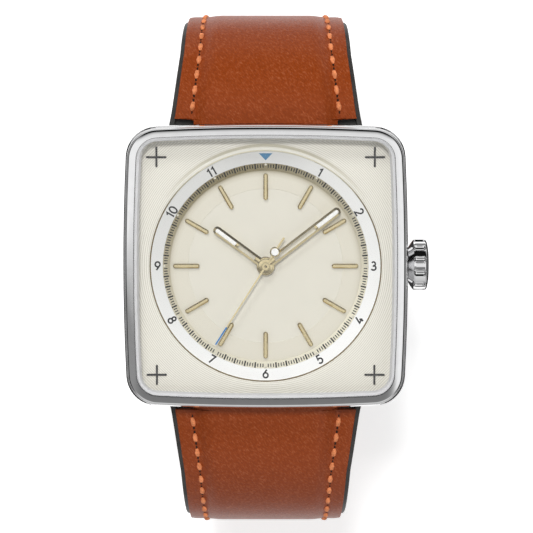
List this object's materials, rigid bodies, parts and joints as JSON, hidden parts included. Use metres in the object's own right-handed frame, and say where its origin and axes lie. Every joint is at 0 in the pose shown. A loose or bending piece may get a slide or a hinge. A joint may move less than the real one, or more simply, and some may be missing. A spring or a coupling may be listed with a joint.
{
  "type": "wristwatch",
  "caption": "Square automatic wristwatch with rounded corners, round sunken dial, three hands, fluted crown and a buckled leather strap closed in a loop.",
  "frame": {"origin": "on the hands' axis, at the outer face of the case back's window", "axes": "+Z out of the dial, +Y towards 12 o'clock, +X towards the crown at 3 o'clock"},
  "size_m": [0.0388, 0.067, 0.0533],
  "materials": {
    "steel_case": "polished",
    "crystal": "clear",
    "rubber_seal": "matt",
    "dial_cream": "satin lacquer",
    "chapter_white": "satin",
    "gold": "polished",
    "black_lacquer": "gloss",
    "lume": "matt",
    "movement_steel": "brushed",
    "brass_wheel": "brushed",
    "jewel_red": "gloss",
    "blued_steel": "gloss",
    "leather_brown": "semi-matt",
    "leather_black": "matt",
    "white_plastic": "matt"
  },
  "bodies": {
    "case": {"case_middle": "steel_case", "bezel": "steel_case", "crystal": "crystal", "crystal_gasket": "white_plastic", "case_back": "steel_case", "back_window": "crystal", "back_gasket": "rubber_seal", "crown_tube": "steel_case", "movement_ring": "white_plastic", "dial_plate": "dial_cream", "chapter_ring": "chapter_white", "minute_track": "gold", "dial_centre": "dial_cream", "hour_markers": "gold", "corner_crosses": "black_lacquer", "main_plate": "movement_steel", "barrel_bridge": "movement_steel", "train_bridge": "movement_steel", "automatic_bridge": "movement_steel", "balance_cock": "movement_steel", "pallet_bridge": "movement_steel", "bridge_screws": "blued_steel", "jewels": "jewel_red", "rotor_bearing": "movement_steel", "spring_bars": "steel_case", "strap_short_leather": "leather_brown", "strap_short_lining": "leather_black", "strap_long_leather": "leather_brown", "strap_long_lining": "leather_black", "fixed_keeper": "leather_brown", "buckle_bar": "steel_case"},
    "hour": {"hour_hand": "gold", "hour_lume": "lume", "hour_wheel": "brass_wheel"},
    "minute": {"minute_hand": "gold", "minute_lume": "lume", "cannon_pinion": "movement_steel", "centre_wheel": "brass_wheel"},
    "seconds": {"seconds_hand": "gold", "fourth_wheel": "brass_wheel"},
    "third": {"third_wheel": "brass_wheel"},
    "escape": {"escape_wheel": "movement_steel"},
    "pallets": {"pallet_fork": "movement_steel"},
    "balance": {"balance_wheel": "brass_wheel", "hairspring": "blued_steel"},
    "barrel": {"mainspring_barrel": "brass_wheel", "mainspring": "movement_steel"},
    "ratchet": {"ratchet_wheel": "movement_steel"},
    "crown_wheel": {"crown_wheel": "movement_steel"},
    "keyless": {"keyless_pinions": "movement_steel"},
    "crown": {"crown": "steel_case", "winding_stem": "movement_steel"},
    "motion": {"minute_wheel": "brass_wheel"},
    "rotor": {"rotor": "movement_steel"},
    "reverser": {"reverser_wheel": "brass_wheel"},
    "reverser_lower": {"reverser_pinion": "brass_wheel"},
    "buckle": {"buckle_frame": "steel_case"},
    "tongue": {"buckle_tongue": "steel_case"},
    "free_keeper": {"free_keeper": "leather_brown"}
  },
  "joints": [
    {"name": "seconds_turn", "type": "hinge", "parent": "case", "child": "seconds", "pos_m": [0, 0, 0.0078], "axis": [0, 0, -1], "continuous": true},
    {"name": "minute_turn", "type": "hinge", "parent": "case", "child": "minute", "pos_m": [0, 0, 0.0074], "axis": [0, 0, -1], "continuous": true},
    {"name": "hour_turn", "type": "hinge", "parent": "case", "child": "hour", "pos_m": [0, 0, 0.007], "axis": [0, 0, -1], "continuous": true},
    {"name": "third_turn", "type": "hinge", "parent": "case", "child": "third", "pos_m": [0.00231, -0.00276, 0.0033], "axis": [0, 0, -1], "continuous": true},
    {"name": "escape_turn", "type": "hinge", "parent": "case", "child": "escape", "pos_m": [-0.00234, -0.00279, 0.004], "axis": [0, 0, -1], "continuous": true},
    {"name": "motion_turn", "type": "hinge", "parent": "case", "child": "motion", "pos_m": [-0.00203, -0.00074, 0.0055], "axis": [0, 0, -1], "continuous": true},
    {"name": "barrel_turn", "type": "hinge", "parent": "case", "child": "barrel", "pos_m": [0.00433, 0.00433, 0.0048], "axis": [0, 0, -1], "continuous": true, "deforming": ["mainspring"]},
    {"name": "pallet_rock", "type": "hinge", "parent": "case", "child": "pallets", "pos_m": [-0.00398, -0.00474, 0.004], "axis": [0, 0, -1], "range_deg": [-5, 5]},
    {"name": "balance_swing", "type": "hinge", "parent": "case", "child": "balance", "pos_m": [-0.0053, -0.00631, 0.0034], "axis": [0, 0, -1], "range_deg": [-270, 270], "deforming": ["hairspring"]},
    {"name": "rotor_turn", "type": "hinge", "parent": "case", "child": "rotor", "pos_m": [0, 0, 0.0014], "axis": [0, 0, -1], "continuous": true},
    {"name": "reverser_turn", "type": "hinge", "parent": "case", "child": "reverser", "pos_m": [0.00013, 0.0037, 0.0017], "axis": [0, 0, -1], "continuous": true},
    {"name": "crown_turn", "type": "hinge", "parent": "case", "child": "keyless", "pos_m": [0, 0, 0.00464], "axis": [1, 0, 0], "continuous": true},
    {"name": "crown_pull", "type": "slide", "parent": "keyless", "child": "crown", "axis": [1, 0, 0], "range_m": [0, 0.0008]},
    {"name": "crown_wheel_turn", "type": "hinge", "parent": "case", "child": "crown_wheel", "pos_m": [0.00801, 0, 0.0032], "axis": [0, 0, -1], "continuous": true},
    {"name": "ratchet_turn", "type": "hinge", "parent": "case", "child": "ratchet", "pos_m": [0.00433, 0.00433, 0.0032], "axis": [0, 0, -1], "continuous": true},
    {"name": "reverser_lower_turn", "type": "hinge", "parent": "case", "child": "reverser_lower", "pos_m": [0.00013, 0.0037, 0.0032], "axis": [0, 0, -1], "continuous": true},
    {"name": "buckle_swing", "type": "hinge", "parent": "case", "child": "buckle", "pos_m": [0, -0.003, -0.03817], "axis": [1, 0, 0], "range_deg": [0, 4]},
    {"name": "tongue_swing", "type": "hinge", "parent": "buckle", "child": "tongue", "pos_m": [0, -0.003, -0.03817], "axis": [1, 0, 0], "range_deg": [0, 3]},
    {"name": "keeper_slide", "type": "slide", "parent": "case", "child": "free_keeper", "axis": [0, -1, 0], "range_m": [0, 0.002]}
  ],
  "couplings": [
    {"joint": "minute_turn", "follows": "seconds_turn", "ratio": 0.016667},
    {"joint": "hour_turn", "follows": "seconds_turn", "ratio": 0.0013889},
    {"joint": "third_turn", "follows": "seconds_turn", "ratio": -0.13333},
    {"joint": "escape_turn", "follows": "seconds_turn", "ratio": -12},
    {"joint": "motion_turn", "follows": "seconds_turn", "ratio": -0.0055556},
    {"joint": "barrel_turn", "follows": "seconds_turn", "ratio": -0.0022222},
    {"joint": "reverser_turn", "follows": "rotor_turn", "ratio": -1.1765},
    {"joint": "crown_wheel_turn", "follows": "crown_turn", "ratio": -0.69231},
    {"joint": "ratchet_turn", "follows": "crown_turn", "ratio": 0.4},
    {"joint": "reverser_lower_turn", "follows": "crown_turn", "ratio": -2.25}
  ]
}
